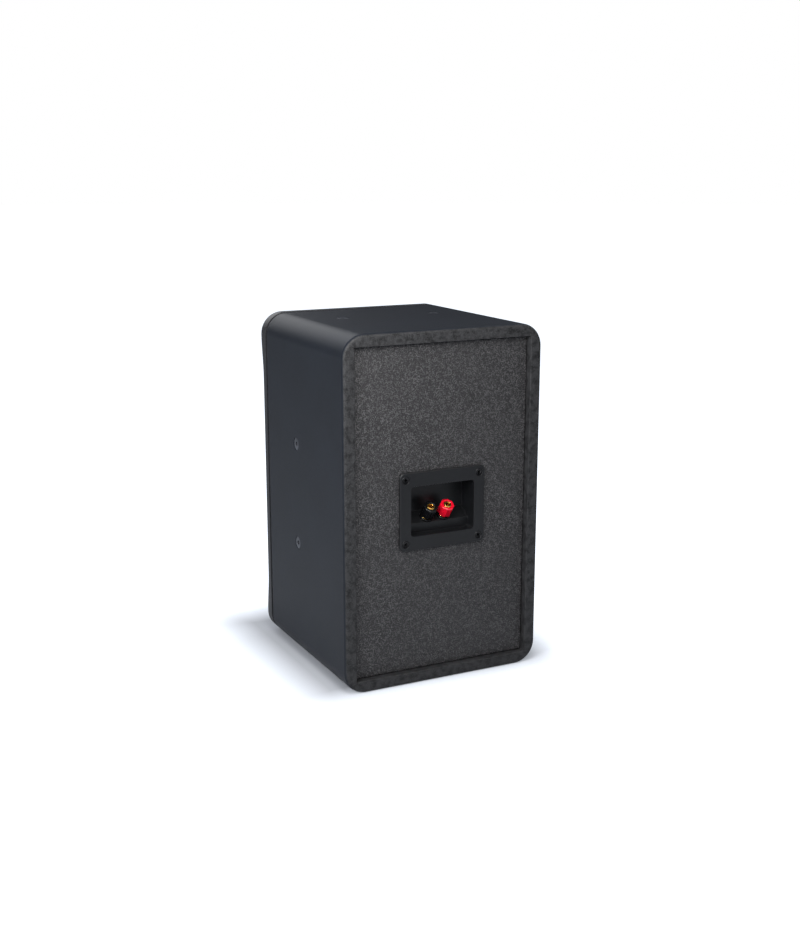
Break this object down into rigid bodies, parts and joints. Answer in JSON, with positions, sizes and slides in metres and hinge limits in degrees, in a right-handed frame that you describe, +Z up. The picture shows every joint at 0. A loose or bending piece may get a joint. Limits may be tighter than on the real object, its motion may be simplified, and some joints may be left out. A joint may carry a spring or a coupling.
{
  "type": "bookshelf speaker",
  "caption": "Closed-box two-way bookshelf speaker with a removable perforated grille, recessed terminal cup with binding posts, and plugged bracket inserts.",
  "frame": {"origin": "under the middle of the whole speaker, on the surface that it stands on", "axes": "+Z up, +Y towards the terminal cup at the rear, -Y towards the grille at the front, +X to the right seen from the front"},
  "size_m": [0.2074, 0.2036, 0.34],
  "materials": {
    "vinyl_wrap": "smooth satin black vinyl wrap",
    "textured_vinyl": "black vinyl with a fine pebble grain",
    "baffle_paint": "black painted fibreboard",
    "moulded_abs": "satin moulded black plastic",
    "perforated_steel": "black powder-coated perforated steel",
    "black_screw_steel": "black oxide steel",
    "gasket_foam": "closed-cell foam",
    "cap_black": "gloss black plastic",
    "cap_red": "gloss red plastic",
    "gold_plate": "polished gold-plated brass",
    "zinc_steel": "zinc-plated steel",
    "basket_coat": "black powder-coated frame",
    "butyl_rubber": "moulded butyl rubber",
    "coated_paper": "coated paper pulp",
    "coil_former": "thin aluminium tube",
    "enamelled_copper": "enamelled copper wire",
    "treated_cotton": "resin-treated woven cotton",
    "ferrite": "ground ferrite ceramic",
    "silk_dome": "coated silk",
    "circuit_board": "glass-epoxy board",
    "capacitor_film": "film capacitor wrap",
    "polyester_wadding": "loose polyester fibre",
    "cable_jacket": "soft PVC jacket"
  },
  "bodies": {
    "cabinet": {"acoustic_wadding": "polyester_wadding", "cabinet_shell": "vinyl_wrap", "crossover_board": "circuit_board", "crossover_capacitor": "capacitor_film", "crossover_inductor": "enamelled_copper", "cup_gasket": "gasket_foam", "cup_screw_1": "black_screw_steel", "cup_screw_2": "black_screw_steel", "cup_screw_3": "black_screw_steel", "cup_screw_4": "black_screw_steel", "front_baffle": "baffle_paint", "input_cable": "cable_jacket", "plug_screw_left_lower": "black_screw_steel", "plug_screw_left_upper": "black_screw_steel", "plug_screw_right_lower": "black_screw_steel", "plug_screw_right_upper": "black_screw_steel", "plug_screw_top_left": "black_screw_steel", "plug_screw_top_right": "black_screw_steel", "post_bushing_black": "cap_black", "post_bushing_red": "cap_black", "post_nut_black": "zinc_steel", "post_nut_red": "zinc_steel", "post_stud_black": "gold_plate", "post_stud_red": "gold_plate", "rear_panel": "textured_vinyl", "terminal_cup": "moulded_abs", "tweeter_cable": "cable_jacket", "tweeter_faceplate": "moulded_abs", "tweeter_magnet": "ferrite", "tweeter_screw_1": "black_screw_steel", "tweeter_screw_2": "black_screw_steel", "tweeter_screw_3": "black_screw_steel", "tweeter_top_plate": "zinc_steel", "tweeter_yoke": "zinc_steel", "woofer_basket": "basket_coat", "woofer_cable": "cable_jacket", "woofer_gasket": "gasket_foam", "woofer_magnet": "ferrite", "woofer_screw_1": "black_screw_steel", "woofer_screw_2": "black_screw_steel", "woofer_screw_3": "black_screw_steel", "woofer_screw_4": "black_screw_steel", "woofer_spider": "treated_cotton", "woofer_surround": "butyl_rubber", "woofer_top_plate": "zinc_steel", "woofer_yoke": "zinc_steel"},
    "grille": {"grille_frame": "moulded_abs", "grille_mesh": "perforated_steel"},
    "woofer_moving": {"woofer_cone": "coated_paper", "woofer_dust_cap": "coated_paper", "woofer_coil_former": "coil_former", "woofer_voice_coil": "enamelled_copper"},
    "tweeter_moving": {"tweeter_diaphragm": "silk_dome", "tweeter_voice_coil": "enamelled_copper"},
    "collar_black": {"post_collar_black": "gold_plate"},
    "cap_black": {"post_cap_black": "cap_black", "post_insert_black": "gold_plate"},
    "collar_red": {"post_collar_red": "gold_plate"},
    "cap_red": {"post_cap_red": "cap_red", "post_insert_red": "gold_plate"}
  },
  "joints": [
    {"name": "grille_pull", "type": "slide", "parent": "cabinet", "child": "grille", "axis": [0, -1, 0], "range_m": [0, 0.014]},
    {"name": "woofer_stroke", "type": "slide", "parent": "cabinet", "child": "woofer_moving", "axis": [0, -1, 0], "range_m": [-0.0035, 0.0035], "stiffness_N_per_m": 1100, "deforming": ["woofer_surround", "woofer_spider"]},
    {"name": "tweeter_stroke", "type": "slide", "parent": "cabinet", "child": "tweeter_moving", "axis": [0, -1, 0], "range_m": [-0.0003, 0.0003], "stiffness_N_per_m": 1500, "deforming": ["tweeter_diaphragm"]},
    {"name": "collar_black_travel", "type": "slide", "parent": "cabinet", "child": "collar_black", "axis": [0, 0.6157, 0.788], "range_m": [0, 0.0044]},
    {"name": "cap_black_turn", "type": "hinge", "parent": "collar_black", "child": "cap_black", "pos_m": [0.009, 0.08125, 0.15861], "axis": [0, 0.6157, 0.788], "range_deg": [0, 1980]},
    {"name": "collar_red_travel", "type": "slide", "parent": "cabinet", "child": "collar_red", "axis": [0, 0.6157, 0.788], "range_m": [0, 0.0044]},
    {"name": "cap_red_turn", "type": "hinge", "parent": "collar_red", "child": "cap_red", "pos_m": [-0.009, 0.08125, 0.15861], "axis": [0, 0.6157, 0.788], "range_deg": [0, 1980]}
  ],
  "couplings": [
    {"joint": "cap_black_turn", "follows": "collar_black_travel", "rad_per_m": 7854},
    {"joint": "cap_red_turn", "follows": "collar_red_travel", "rad_per_m": 7854}
  ]
}
